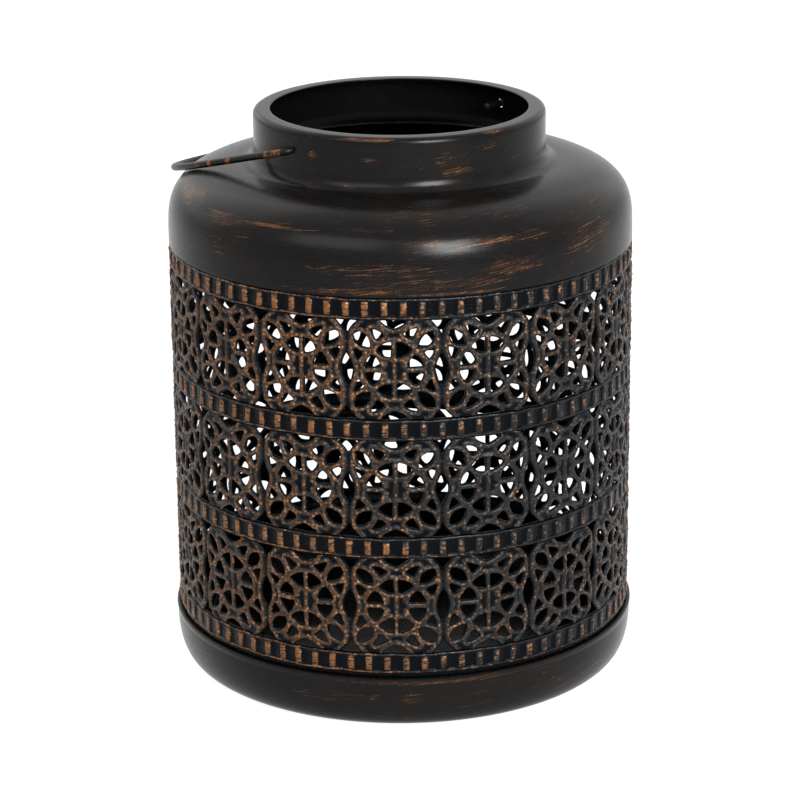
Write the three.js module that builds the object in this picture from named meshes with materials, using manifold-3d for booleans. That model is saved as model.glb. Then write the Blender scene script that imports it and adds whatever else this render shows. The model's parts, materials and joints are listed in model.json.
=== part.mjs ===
import * as THREE from 'three';
import { mergeVertices } from 'three/addons/utils/BufferGeometryUtils.js';
import Module from 'manifold-3d';

// A round sheet-metal lantern: a drawn cap with a neck, a pierced drum, a pan and a wire bail.
// Millimetres, +Z up. The origin is the centre of the flat underside, and the bail turns about
// a line along X through the neck. The bail lies folded on the shoulder, towards +Y.

// Sheets, and the gap left between pieces that touch
const CAP_SHEET = 0.5;
const DRUM_SHEET = 0.5;
const PAN_SHEET = 0.9;
const SEAT_GAP = 0.3;

// Drum: a rolled sheet with tiers of medallions, pressed proud of the plain bands between them
const DRUM_RADIUS = 80.7;
const TIER_RELIEF = 0.6;
const MEDALLIONS = 16;
const TIERS = 3;
const TIER_HEIGHT = 34.7;
const BAND_HEIGHT = 7.1;
const STRIP_OVER_PAN = 1.6;
const STRIP_UNDER_CAP = 0.7;
const TUCK_IN_PAN = 5;
const TUCK_IN_CAP = 4;
const PATTERN_TURN = THREE.MathUtils.degToRad(-0.75);

// Pan: a rounded corner run up to a folded lip
const PAN_HEIGHT = 19.4;
const PAN_WALL = 1.4;
const PAN_CORNER_RUN = 9.9;
const PAN_LIP = 1.7;
const PAN_LIP_FOLD = 4;

// Cap: skirt, dome, neck and a rim turned in at the top
const SKIRT_HEIGHT = 1.8;
const DOME_RISE = 25.5;
const NECK_RADIUS = 50.9;
const NECK_HEIGHT = 18.5;
const NECK_FILLET = 5;
const RIM_WIDTH = 6;
const RIM_ROUND = 1.8;

// Bail: one wire, bent in at both ends through punched holes
const WIRE_DIAMETER = 2.6;
const HOLE_DIAMETER = 5;
const HOLE_BELOW_RIM = 7.3;
const LEG_LENGTH = 42;
const LEG_GAP = 1.2;
const WIRE_BEND = 2.6;
const TAIL_INSIDE = 10;

// Exponents of the drawn curves: 2 is an ellipse, more is squarer
const DOME_SQUARE = { across: 2.3, up: 3.7 };
const PAN_SQUARE = { across: 3.2, up: 2.25 };

// Facets: three to each medallion, so that every medallion is cut alike
const FACETS = 3 * MEDALLIONS;
const DOME_STEPS = 7;
const FILLET_STEPS = 3;
const RIM_STEPS = 2;
const PAN_CORNER_STEPS = 6;
const BEND_STEPS = 4;
const BOW_STEPS = 24;
const WIRE_QUARTER_SIDES = 4;
const HOLE_SIDES = 16;
const FLAT_WITHIN = 0.002;     // facets nearer to one plane than this are joined

// Radii and heights that follow
const fitRadius = DRUM_RADIUS + SEAT_GAP;
const capRadius = fitRadius + CAP_SHEET;
const panRadius = fitRadius + PAN_LIP;
const capEdge = PAN_HEIGHT + STRIP_OVER_PAN + (TIERS + 1) * BAND_HEIGHT
  + TIERS * TIER_HEIGHT + STRIP_UNDER_CAP;
const domeFoot = capEdge + SKIRT_HEIGHT;
const rimTop = domeFoot + DOME_RISE + NECK_HEIGHT;
const hingeHeight = rimTop - HOLE_BELOW_RIM;
const wireRadius = WIRE_DIAMETER / 2;
const legOffset = NECK_RADIUS + LEG_GAP + wireRadius;

const wasm = await Module();
wasm.setup();
const { Manifold, Mesh: SolidMesh } = wasm;

// Shared shapes

function toSolid(positions, triangles) {
  return new Manifold(new SolidMesh({
    numProp: 3,
    vertProperties: new Float32Array(positions),
    triVerts: new Uint32Array(triangles),
  }));
}

function geometryToSolid(geometry) {
  const bare = geometry.clone();
  bare.deleteAttribute('normal');
  bare.deleteAttribute('uv');
  const merged = mergeVertices(bare);
  return toSolid(merged.attributes.position.array, merged.index.array);
}

function solidToGeometry(solid) {
  const mesh = solid.getMesh();
  const geometry = new THREE.BufferGeometry();
  geometry.setAttribute('position', new THREE.BufferAttribute(mesh.vertProperties, 3));
  geometry.setIndex(new THREE.BufferAttribute(mesh.triVerts, 1));
  const flat = geometry.toNonIndexed();
  flat.computeVertexNormals();
  return flat;
}

// A profile of [radius, height] points, turned about Z with its facets set to the medallions.
function turned(profile) {
  const points = profile.map(([radius, height]) => new THREE.Vector2(radius, height));
  const geometry = new THREE.LatheGeometry(points, FACETS);
  geometry.rotateX(Math.PI / 2);
  geometry.rotateZ(PATTERN_TURN + Math.PI / FACETS);
  return geometry;
}

// The outside line of a sheet, moved in by the sheet's thickness. Its metal lies to the left
// of the line's direction.
function insideLine(line, thickness) {
  return line.map((point, i) => {
    const before = line[Math.max(i - 1, 0)];
    const after = line[Math.min(i + 1, line.length - 1)];
    const normalOf = (a, b) => {
      const length = Math.hypot(b[0] - a[0], b[1] - a[1]);
      return [-(b[1] - a[1]) / length, (b[0] - a[0]) / length];
    };
    const first = normalOf(i ? before : point, i ? point : after);
    const second = normalOf(i < line.length - 1 ? point : before, i < line.length - 1 ? after : point);
    const sum = [first[0] + second[0], first[1] + second[1]];
    const stretch = 2 / (sum[0] ** 2 + sum[1] ** 2);
    return [point[0] + sum[0] * stretch * thickness, point[1] + sum[1] * stretch * thickness];
  });
}

// A quarter of a squared ellipse, from its flat end (turn 0) to its upright end (turn 90 degrees).
// Rounding can carry the last turn just past upright, where the cosine is below zero.
function squaredQuarter(square, turn) {
  const upright = Math.max(Math.cos(turn), 0);
  return [Math.sin(turn) ** (2 / square.across), upright ** (2 / square.up)];
}

function arcPoints(centre, radius, from, to, steps) {
  return Array.from({ length: steps + 1 }, (_, i) => {
    const angle = from + (to - from) * i / steps;
    return [centre[0] + radius * Math.cos(angle), centre[1] + radius * Math.sin(angle)];
  });
}

// Cap

function domePoint(turn) {
  const [across, up] = squaredQuarter(DOME_SQUARE, turn);
  return [NECK_RADIUS + (capRadius - NECK_RADIUS) * across, domeFoot + DOME_RISE * up];
}

function domeLine() {
  const start = Math.asin((NECK_FILLET / (capRadius - NECK_RADIUS)) ** (DOME_SQUARE.across / 2));
  return Array.from({ length: DOME_STEPS + 1 }, (_, i) =>
    domePoint(start + (Math.PI / 2 - start) * i / DOME_STEPS));
}

function capLine() {
  const dome = domeLine();
  const filletCentre = [NECK_RADIUS + NECK_FILLET, dome[0][1] + NECK_FILLET];
  const rimCentre = [NECK_RADIUS - RIM_ROUND, rimTop - RIM_ROUND];
  return [
    [capRadius, capEdge],
    ...dome.reverse(),
    ...arcPoints(filletCentre, NECK_FILLET, -Math.PI / 2, -Math.PI, FILLET_STEPS).slice(1),
    ...arcPoints(rimCentre, RIM_ROUND, 0, Math.PI / 2, RIM_STEPS),
    [NECK_RADIUS - RIM_WIDTH, rimTop],
  ];
}

function makeTopCap() {
  const outside = capLine();
  const profile = [...outside, ...insideLine(outside, CAP_SHEET).reverse(), outside[0]];
  const punch = new THREE.CylinderGeometry(
    HOLE_DIAMETER / 2, HOLE_DIAMETER / 2, 2 * (NECK_RADIUS + NECK_FILLET), HOLE_SIDES);
  punch.rotateZ(Math.PI / 2);
  punch.translate(0, 0, hingeHeight);
  return solidToGeometry(geometryToSolid(turned(profile)).subtract(geometryToSolid(punch)));
}

// Drum

// Outlines of one medallion's openings, corners counter-clockwise from outside, as shares of
// half the medallion's pitch (across) and half its tier (up).
const PETAL = { inner: 0.25, outer: 0.6, widest: 0.41, half: 0.31 };
const LEAF = { centre: 0.62, long: 0.165, short: 0.095 };
const ALMOND = { half: 0.15, tip: 0.32 };
const EDGE_LENS = { half: 0.3, tip: 0.78, flat: 0.97 };

function quarterTurns(outline) {
  const turns = [outline];
  for (let i = 1; i < 4; i += 1) {
    turns.push(turns[i - 1].map(([across, up]) => [-up, across]));
  }
  return turns;
}

function medallionOpenings() {
  const petal = [
    [PETAL.inner, 0], [PETAL.widest, -PETAL.half], [PETAL.outer, 0], [PETAL.widest, PETAL.half]];
  const { centre, long, short } = LEAF;
  const leaf = [
    [centre - long, centre - long], [centre + short, centre - short],
    [centre + long, centre + long], [centre - short, centre + short]];
  const almond = [
    [1 - ALMOND.half, 0], [1, -ALMOND.tip], [1 + ALMOND.half, 0], [1, ALMOND.tip]];
  const { half, tip, flat } = EDGE_LENS;
  const upperLens = [[0, tip], [half, flat], [-half, flat]];
  const lowerLens = [[0, -tip], [-half, -flat], [half, -flat]];
  return [...quarterTurns(petal), ...quarterTurns(leaf), almond, upperLens, lowerLens];
}

// Every opening of the drum as one solid of separate prisms. Each is punched straight through the
// sheet, square to it at the opening's middle.
function openingPrisms(sheetRadius, reach) {
  const positions = [];
  const triangles = [];
  const halfPitch = Math.PI / MEDALLIONS;
  const addPrism = (outline, medallionAngle, middleHeight) => {
    const first = positions.length / 3;
    const corners = outline.length;
    const middle = outline.reduce((sum, [across]) => sum + across, 0) / corners;
    const punchAngle = medallionAngle + middle * halfPitch;
    for (const side of [-reach, reach]) {
      for (const [across, up] of outline) {
        const angle = medallionAngle + across * halfPitch;
        positions.push(
          sheetRadius * Math.cos(angle) + side * Math.cos(punchAngle),
          sheetRadius * Math.sin(angle) + side * Math.sin(punchAngle),
          middleHeight + up * TIER_HEIGHT / 2);
      }
    }
    for (let i = 0; i < corners; i += 1) {
      const next = (i + 1) % corners;
      triangles.push(first + i, first + next, first + corners + next);
      triangles.push(first + i, first + corners + next, first + corners + i);
    }
    for (let i = 1; i < corners - 1; i += 1) {
      triangles.push(first, first + i + 1, first + i);
      triangles.push(first + corners, first + corners + i, first + corners + i + 1);
    }
  };
  for (let tier = 0; tier < TIERS; tier += 1) {
    for (let i = 0; i < MEDALLIONS; i += 1) {
      for (const outline of medallionOpenings()) {
        addPrism(outline, PATTERN_TURN + 2 * halfPitch * i, tierFoot(tier) + TIER_HEIGHT / 2);
      }
    }
  }
  return toSolid(positions, triangles);
}

function tierFoot(tier) {
  return PAN_HEIGHT + STRIP_OVER_PAN + BAND_HEIGHT + tier * (TIER_HEIGHT + BAND_HEIGHT);
}

function makeFiligreeDrum() {
  const bottom = PAN_HEIGHT - TUCK_IN_PAN;
  const top = capEdge + TUCK_IN_CAP;
  const inside = DRUM_RADIUS - DRUM_SHEET;
  const pressed = DRUM_RADIUS + TIER_RELIEF;
  const profile = [[inside, bottom], [DRUM_RADIUS, bottom]];
  for (let tier = 0; tier < TIERS; tier += 1) {
    const foot = tierFoot(tier);
    const head = foot + TIER_HEIGHT;
    profile.push([DRUM_RADIUS, foot], [pressed, foot], [pressed, head], [DRUM_RADIUS, head]);
  }
  profile.push([DRUM_RADIUS, top], [inside, top], [inside, bottom]);
  const prisms = openingPrisms(inside, 2 * (DRUM_SHEET + TIER_RELIEF));
  const sheet = geometryToSolid(turned(profile));
  return solidToGeometry(sheet.subtract(prisms).asOriginal().simplify(FLAT_WITHIN));
}

// Pan

function panCornerLine() {
  const rise = PAN_HEIGHT - PAN_WALL;
  return Array.from({ length: PAN_CORNER_STEPS + 1 }, (_, i) => {
    const [across, up] = squaredQuarter(PAN_SQUARE, Math.PI / 2 * i / PAN_CORNER_STEPS);
    return [panRadius - PAN_CORNER_RUN * (1 - across), rise * (1 - up)];
  });
}

function makeBasePan() {
  const outside = [[0, 0], ...panCornerLine(), [panRadius, PAN_HEIGHT]];
  const foldFoot = PAN_HEIGHT - PAN_LIP_FOLD;
  const inside = insideLine(outside, PAN_SHEET)
    .slice(1)
    .filter(([, height]) => height < foldFoot - PAN_SHEET);
  return turned([
    ...outside,
    [fitRadius, PAN_HEIGHT],
    [fitRadius, foldFoot],
    ...inside.reverse(),
    [0, PAN_SHEET],
  ]);
}

// Bail

// The wire's middle line in its own plane: [across, out from the hinge line].
function bailStations() {
  const bendFoot = legOffset - WIRE_BEND;
  const tailTip = NECK_RADIUS - TAIL_INSIDE;
  const left = [
    [-tailTip, 0],
    ...arcPoints([-bendFoot, WIRE_BEND], WIRE_BEND, -Math.PI / 2, -Math.PI, BEND_STEPS),
  ];
  const bow = arcPoints([0, LEG_LENGTH], legOffset, Math.PI, 0, BOW_STEPS);
  const right = left.map(([across, out]) => [-across, out]).reverse();
  return [...left, ...bow, ...right];
}

// A path that steps from station to station, whatever their spacing.
class StationPath extends THREE.Curve {
  constructor(stations) {
    super();
    this.stations = stations;
  }

  getUtoTmapping(u) {
    return u;
  }

  getPoint(t, target = new THREE.Vector3()) {
    const last = this.stations.length - 1;
    const i = Math.min(Math.floor(t * last), last - 1);
    const share = t * last - i;
    const [a, b] = [this.stations[i], this.stations[i + 1]];
    return target.set(a[0] + (b[0] - a[0]) * share, a[1] + (b[1] - a[1]) * share, 0);
  }
}

// How far the bail drops below level before its legs lie on the shoulder.
function restTilt() {
  const shoulder = [[capRadius, capEdge], ...domeLine().reverse()];
  const clearance = wireRadius + SEAT_GAP;
  const legs = bailStations().filter(([, out]) => out >= LEG_LENGTH);
  for (let out = 2 * WIRE_BEND; out < LEG_LENGTH; out += WIRE_DIAMETER) {
    legs.push([legOffset, out]);
  }
  const gapAt = (tilt) => {
    const line = new THREE.Line3();
    const nearest = new THREE.Vector3();
    let least = Infinity;
    for (const [across, out] of legs) {
      const spot = new THREE.Vector3(
        Math.hypot(across, out * Math.cos(tilt)), hingeHeight - out * Math.sin(tilt), 0);
      for (let i = 1; i < shoulder.length; i += 1) {
        line.start.set(...shoulder[i - 1], 0);
        line.end.set(...shoulder[i], 0);
        line.closestPointToPoint(spot, true, nearest);
        least = Math.min(least, spot.distanceTo(nearest));
      }
    }
    return least;
  };
  let tilt = 0;
  const step = THREE.MathUtils.degToRad(0.02);
  while (gapAt(tilt + step) > clearance && tilt < Math.PI / 2) {
    tilt += step;
  }
  return tilt;
}

function makeBailHandle() {
  const stations = bailStations();
  const section = new THREE.Shape().absarc(0, 0, wireRadius, 0, 2 * Math.PI);
  return new THREE.ExtrudeGeometry(section, {
    extrudePath: new StationPath(stations),
    steps: stations.length - 1,
    curveSegments: WIRE_QUARTER_SIDES,
  });
}

// Materials

function paintedMetal(color, roughness) {
  return new THREE.MeshStandardMaterial({ color, roughness, metalness: 0.35 });
}

const antiquedBlack = paintedMetal('#2b2826', 0.42);
const copperBrushed = paintedMetal('#4a3424', 0.5);
const wireBlack = paintedMetal('#33302e', 0.4);

// Assembly

function piece(name, geometry, material) {
  const mesh = new THREE.Mesh(geometry, material);
  mesh.name = name;
  return mesh;
}

const lantern = new THREE.Group();
lantern.add(piece('base_pan', makeBasePan(), antiquedBlack));
lantern.add(piece('filigree_drum', makeFiligreeDrum(), copperBrushed));
lantern.add(piece('top_cap', makeTopCap(), antiquedBlack));

const bail = piece('bail_handle', makeBailHandle(), wireBlack);
bail.position.z = hingeHeight;
bail.rotation.x = -restTilt();
lantern.add(bail);

export default lantern;
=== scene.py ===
"""Lantern with a pierced filigree drum: the finish, the pressed relief and the stage around its frame."""

import json
import math

import bmesh
import bpy
import numpy as np
from bpy.props import FloatProperty, FloatVectorProperty, IntProperty, PointerProperty
from mathutils import Matrix, Vector
from mathutils.geometry import delaunay_2d_cdt


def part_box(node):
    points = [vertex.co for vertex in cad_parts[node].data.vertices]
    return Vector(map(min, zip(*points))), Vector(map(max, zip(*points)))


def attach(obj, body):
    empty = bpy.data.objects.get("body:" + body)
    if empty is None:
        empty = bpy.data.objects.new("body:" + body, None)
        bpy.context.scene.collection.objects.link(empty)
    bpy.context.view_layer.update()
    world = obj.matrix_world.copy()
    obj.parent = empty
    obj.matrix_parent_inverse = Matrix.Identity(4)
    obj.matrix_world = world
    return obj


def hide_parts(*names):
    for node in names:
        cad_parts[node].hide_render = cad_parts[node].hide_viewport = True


bl_info = {
    "name": "Filigree Lantern",
    "version": (1, 0, 0),
    "blender": (4, 5, 0),
    "location": "View3D > Sidebar > Lantern",
    "description": "Builds a sheet-metal lantern with a pressed filigree drum and a wire bail",
    "category": "Object",
}

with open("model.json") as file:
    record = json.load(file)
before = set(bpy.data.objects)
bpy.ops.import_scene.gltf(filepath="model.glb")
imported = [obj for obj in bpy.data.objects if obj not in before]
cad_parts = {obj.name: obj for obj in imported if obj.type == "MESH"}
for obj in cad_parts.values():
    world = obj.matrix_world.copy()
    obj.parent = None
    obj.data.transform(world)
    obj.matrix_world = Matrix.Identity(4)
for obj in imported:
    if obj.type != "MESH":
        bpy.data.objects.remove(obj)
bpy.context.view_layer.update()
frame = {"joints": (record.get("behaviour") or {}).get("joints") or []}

MM = 0.001
CAP_LOW, CAP_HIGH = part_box("top_cap")
DRUM_LOW, DRUM_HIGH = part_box("filigree_drum")
PAN_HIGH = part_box("base_pan")[1]
BAIL_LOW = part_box("bail_handle")[0]
HINGE = Vector(frame["joints"][0]["pos_m"])
LANTERN_BODY = "lantern_body"
BAIL_BODY = "bail"


# Property helpers

def length(name, description, millimetres):
    """A size in the user's length unit."""
    return FloatProperty(
        name=name, description=description, default=millimetres * MM, min=0, unit="LENGTH", precision=5)


def share(name, description, default):
    """A number between 0 and 1."""
    return FloatProperty(name=name, description=description, default=default, min=0, max=1, subtype="FACTOR")


def paint(name, description, default):
    """A linear colour."""
    return FloatVectorProperty(
        name=name, description=description, default=default, min=0, max=1, size=3, subtype="COLOR")


def angle(name, description, degrees):
    """An angle in the user's unit."""
    return FloatProperty(name=name, description=description, default=math.radians(degrees), subtype="ANGLE")


def amount(name, description, default):
    """A plain number."""
    return FloatProperty(name=name, description=description, default=default, min=0)


def count(name, description, default, least):
    """A whole number."""
    return IntProperty(name=name, description=description, default=default, min=least)


class LanternCapSizes(bpy.types.PropertyGroup):
    """The drawn cap: skirt, dome, neck and turned-in rim."""

    sheet: length("Sheet", "Thickness of the cap's sheet", 0.5)
    skirt_height: length("Skirt height", "Straight skirt under the dome", 1.8)
    neck_radius: length("Neck radius", "Outside radius of the neck", 50.9)
    neck_height: length("Neck height", "From the crown of the dome to the rim", 18.5)
    neck_fillet: length("Neck fillet", "Radius of the hollow at the foot of the neck", 5)
    rim_width: length("Rim width", "How far the rim turns in over the mouth", 6)
    rim_round: length("Rim round", "Radius of the rim's outer edge", 1.8)
    hole_diameter: length("Hole diameter", "Punched holes of the bail", 3.1)
    dome_across: amount("Dome across", "Squareness of the dome, outwards", 2.3)
    dome_up: amount("Dome up", "Squareness of the dome, upwards", 3.7)
    segments: count("Segments", "Faces round the cap", 240, 24)


class LanternDrumSizes(bpy.types.PropertyGroup):
    """The pressed and pierced sheet: tiers of medallions between ladder bands."""

    medallions: count("Medallions", "Medallions round the drum", 16, 3)
    tiers: count("Tiers", "Rows of medallions", 3, 1)
    ribs: count("Ribs", "Ladder ribs to each medallion", 5, 1)
    tier_height: length("Tier height", "Height of one row of medallions", 34.7)
    band_height: length("Band height", "Height of one ladder band", 7.1)
    strip_over_pan: length("Strip over pan", "Plain strip above the pan's lip", 1.6)
    tier_relief: length("Tier relief", "How far the tiers of the frame stand proud of its bands", 0.6)
    sheet: length("Sheet", "Thickness of the drum's sheet", 0.45)
    bead: length("Bead", "Height of the pressed beads", 0.85)
    rib: length("Rib", "Height of the ladder ribs", 0.75)
    turn: angle("Turn", "Turn of the first medallion from +X", -0.75)
    spacing: length("Point spacing", "Distance between mesh points along an opening", 0.5)


class LanternPanSizes(bpy.types.PropertyGroup):
    """The drawn pan with its folded lip."""

    sheet: length("Sheet", "Thickness of the pan's sheet", 0.9)
    wall: length("Wall", "Straight wall above the corner", 1.4)
    corner_run: length("Corner run", "Width of the rounded bottom corner", 9.9)
    lip: length("Lip", "Width of the folded lip, from the drum out", 1.7)
    lip_height: length("Lip height", "Height of the lip's raised bead", 1.5)
    corner_across: amount("Corner across", "Squareness of the corner, outwards", 3.2)
    corner_up: amount("Corner up", "Squareness of the corner, upwards", 2.25)
    segments: count("Segments", "Faces round the pan", 240, 24)


class LanternBailSizes(bpy.types.PropertyGroup):
    """The bent wire."""

    wire: length("Wire", "Diameter of the wire", 2.5)
    leg: length("Leg", "Straight leg from the hinge line to the bow", 42)
    leg_offset: length("Leg offset", "From the middle plane to a leg's centre", 53.4)
    bend: length("Bend", "Bend radius at the neck", 2.6)
    tail: length("Tail", "Length of wire inside the neck", 7)
    sides: count("Sides", "Faces round the wire", 20, 6)


class LanternFinish(bpy.types.PropertyGroup):
    """Colours of the antiqued paint."""

    black: paint("Black", "Satin black paint", (0.0026, 0.0026, 0.0030))
    brown: paint("Brown", "Warm cast of the worn paint", (0.0052, 0.0044, 0.0037))
    # Inside: darker than the outside's black, a painted shade inside the lantern; inward faces also get no
    # brown cast or copper.
    inside: paint("Inside", "Bare black inside the lantern", (0.0022, 0.0022, 0.0026))
    recess: paint("Recess", "Blue-black paint in the pressed hollows", (0.0026, 0.0033, 0.0045))
    # Brown haze round the copper; the drum also lays this colour on its bead tops as a painted highlight.
    stain_and_sheen: paint("Stain", "Brown haze round the copper", (0.026, 0.0150, 0.0088))
    copper: paint("Copper", "Dry-brushed copper", (0.180, 0.070, 0.021))
    dim: paint("Dim copper", "Copper on the medallions", (0.082, 0.034, 0.0125))
    # Pale copper: where the copper lies thick; on the drum's bead tops it also serves as painted glints.
    pale: paint("Pale copper", "Where the copper lies thick", (0.24, 0.120, 0.051))
    brushed_side: angle("Brushed side", "Direction from +X of the side with the most brush strokes", 226)


class LanternStage(bpy.types.PropertyGroup):
    """Camera and light."""

    lens: FloatProperty(name="Lens", description="Focal length", default=134.1, unit="CAMERA")
    distance: length("Distance", "From the camera to the point it looks at", 1068.7)
    aim_height: length("Aim height", "Height that the camera looks at", 92.3)
    azimuth: angle("Azimuth", "Camera direction from +X", 226)
    elevation: angle("Elevation", "Camera height above the horizon", 18.18)
    roll: angle("Roll", "Camera roll", -0.53)
    floor: paint("Floor", "Pale floor", (0.3, 0.3, 0.3))
    floor_glow: share("Floor glow", "Light that brings the floor to white where it is seen", 0.90)
    ambient: share("Ambient", "Light from the white studio walls", 0.34)
    key: amount("Key", "Brightness of the key soft box", 33)
    fill: amount("Fill", "Brightness of the fill soft box", 3.2)
    rear: amount("Rear", "Brightness of the two rear soft boxes", 0.7)


# Node trees

class Nodes:
    """Adds nodes to one node tree."""

    def __init__(self, tree):
        self.tree = tree

    def add(self, kind, settings=None, **sockets):
        """Adds a node, sets its settings, then its sockets. Underscores in a socket's name are spaces, and
        input_0 is the first socket."""
        node = self.tree.nodes.new(kind)
        for name, value in (settings or {}).items():
            setattr(node, name, value)
        for name, value in sockets.items():
            self.feed(self._socket(node, name), value)
        return node

    @staticmethod
    def _socket(node, name):
        if name.startswith("input_"):
            return node.inputs[int(name.removeprefix("input_"))]
        return node.inputs[name.replace("_", " ")]

    def feed(self, socket, value):
        """Links a value to a socket, or writes it there."""
        if isinstance(value, Number):
            value = value.socket
        if isinstance(value, bpy.types.NodeSocket):
            self.tree.links.new(value, socket)
        elif socket.type == "RGBA" and len(value) == 3:
            socket.default_value = (*value, 1)
        else:
            socket.default_value = value

    def number(self, value):
        """A socket as a Number, so that it can be used in an expression."""
        return Number(self, value)

    def vector(self, x, y, z):
        """A vector from its three parts."""
        return self.add("ShaderNodeCombineXYZ", X=x, Y=y, Z=z).outputs[0]

    def split(self, vector):
        """The three parts of a vector as Numbers."""
        node = self.add("ShaderNodeSeparateXYZ", Vector=vector)
        return [Number(self, output) for output in node.outputs]

    def mix(self, factor, first, second):
        """Blends two colours."""
        node = self.add(
            "ShaderNodeMix", {"data_type": "RGBA", "clamp_factor": True},
            Factor=factor, input_6=first, input_7=second)
        return node.outputs[2]

    def noise(self, vector, size, detail=2, roughness=0.5):
        """Cloudy values from 0 to 1, mostly near 0.5, in clouds of about a size."""
        node = self.add(
            "ShaderNodeTexNoise", Vector=vector, Scale=1 / size, Detail=detail, Roughness=roughness)
        return self.number(node.outputs["Fac"])

    def beads(self, vector, spacing):
        """Round bumps, 1 at their tops and mostly near 0.5 between them."""
        node = self.add(
            "ShaderNodeTexVoronoi", {"feature": "F1"}, Vector=vector, Scale=1 / spacing, Randomness=0.7)
        return 1.0 - self.number(node.outputs["Distance"])


def maths(operation, reflected=False):
    """A method of Number that adds a Math node. A reflected one takes the Number as its second value."""

    def method(self, *others):
        values = (*others, self) if reflected else (self, *others)
        sockets = {f"input_{i}": value for i, value in enumerate(values)}
        node = self.nodes.add("ShaderNodeMath", {"operation": operation}, **sockets)
        return Number(self.nodes, node.outputs[0])

    return method


class Number:
    """A number in a node tree. Arithmetic on it adds Math nodes."""

    def __init__(self, nodes, socket):
        self.nodes = nodes
        self.socket = socket

    __add__ = maths("ADD")
    __radd__ = maths("ADD", reflected=True)
    __sub__ = maths("SUBTRACT")
    __rsub__ = maths("SUBTRACT", reflected=True)
    __mul__ = maths("MULTIPLY")
    __rmul__ = maths("MULTIPLY", reflected=True)
    __truediv__ = maths("DIVIDE")
    __rtruediv__ = maths("DIVIDE", reflected=True)
    size = maths("ABSOLUTE")
    sqrt = maths("SQRT")
    sin = maths("SINE")
    cos = maths("COSINE")
    at_least = maths("MAXIMUM")
    at_most = maths("MINIMUM")

    def rise(self, low, high):
        """0 below low, 1 above high, smooth between."""
        node = self.nodes.add(
            "ShaderNodeMapRange", {"interpolation_type": "SMOOTHSTEP", "clamp": True},
            Value=self, From_Min=low, From_Max=high, To_Min=0.0, To_Max=1.0)
        return Number(self.nodes, node.outputs[0])


# Mesh helpers

def add_object(name, data):
    """A new object in the scene that holds the data."""
    item = bpy.data.objects.new(name, data)
    bpy.context.scene.collection.objects.link(item)
    return item


def write_attribute(mesh, name, values):
    """Writes a number to each point of a mesh."""
    layer = mesh.attributes.get(name) or mesh.attributes.new(name, "FLOAT", "POINT")
    layer.data.foreach_set("value", np.asarray(values, np.float32))


def new_piece(name, verts, faces, attributes=None):
    """A mesh object at the origin, smooth, with float attributes on its points."""
    mesh = bpy.data.meshes.new(name)
    points = [tuple(map(float, vert)) for vert in verts]
    mesh.from_pydata(points, [], [tuple(map(int, face)) for face in faces])
    for key, values in (attributes or {}).items():
        write_attribute(mesh, key, values)
    mesh.shade_smooth()
    return add_object(name, mesh)


def take_mesh(build, name, smooth=True):
    """The mesh of a finished bmesh."""
    mesh = bpy.data.meshes.new(name)
    build.to_mesh(mesh)
    build.free()
    if smooth:
        mesh.shade_smooth()
    return mesh


def settle(piece, body, slot, material, *nodes):
    """Gives a finished piece its finish, its body and the nodes that it stands for. The slot is not used."""
    piece.data.materials.clear()
    piece.data.materials.append(material)
    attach(piece, body)
    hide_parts(*nodes)


def freeze(piece):
    """Turns the evaluated object into a plain mesh and drops its modifiers."""
    bpy.context.view_layer.update()
    evaluated = piece.evaluated_get(bpy.context.evaluated_depsgraph_get())
    mesh = bpy.data.meshes.new_from_object(evaluated)
    piece.modifiers.clear()
    piece.data = mesh


def unit(vector):
    """The vector at length one."""
    return vector / np.linalg.norm(vector)


def line_lengths(line):
    """Distance along a line at each of its points."""
    return np.concatenate([[0], np.cumsum(np.linalg.norm(np.diff(line, axis=0), axis=1))])


def even_line(line, spacing):
    """The same line with points at about the same spacing."""
    line = np.asarray(line, float)
    along = line_lengths(line)
    even = np.linspace(0, along[-1], max(2, round(along[-1] / spacing) + 1))
    return np.stack([np.interp(even, along, line[:, i]) for i in (0, 1)], 1)


def directions(line):
    """The unit direction of a line at each of its points."""
    steps = np.gradient(line, axis=0)
    return steps / np.linalg.norm(steps, axis=1)[:, None]


def left_of(line):
    """The unit direction to the left of a line at each of its points."""
    steps = directions(line)
    return np.stack([-steps[:, 1], steps[:, 0]], 1)


def offset_line(line, distance):
    """The line moved to its left by a distance."""
    return line + distance * left_of(line)


def nearest_on_line(spots, line):
    """For each spot, the number of the line's step that lies nearest, the share of that step at which it
    does, and how far away it is."""
    starts, steps = line[:-1], np.diff(line, axis=0)
    part = np.clip(((spots[:, None] - starts) * steps).sum(2) / (steps ** 2).sum(1), 0, 1)
    away = np.linalg.norm(spots[:, None] - (starts + part[..., None] * steps), axis=2)
    nearest = away.argmin(1)
    rows = np.arange(len(spots))
    return nearest, part[rows, nearest], away[rows, nearest]


def arc(centre, radius, start, end, steps):
    """Points of an arc, angles in degrees."""
    angles = np.radians(np.linspace(start, end, steps + 1))
    return [(centre[0] + radius * math.cos(a), centre[1] + radius * math.sin(a)) for a in angles]


def squared_quarter(across, up, turn):
    """A point of a squared ellipse's quarter, from its flat end to its upright end."""
    return math.sin(turn) ** (2 / across), max(math.cos(turn), 0) ** (2 / up)


def rounded_edge(start, end, outward, steps=6):
    """The half circle from one side of a sheet to the other, round its cut edge."""
    centre = (start + end) / 2
    spoke = start - centre
    bulge = unit(outward) * np.linalg.norm(spoke)
    turns = np.linspace(0, math.pi, steps + 1)[1:-1]
    return np.array([centre + spoke * math.cos(turn) + bulge * math.sin(turn) for turn in turns])


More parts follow.
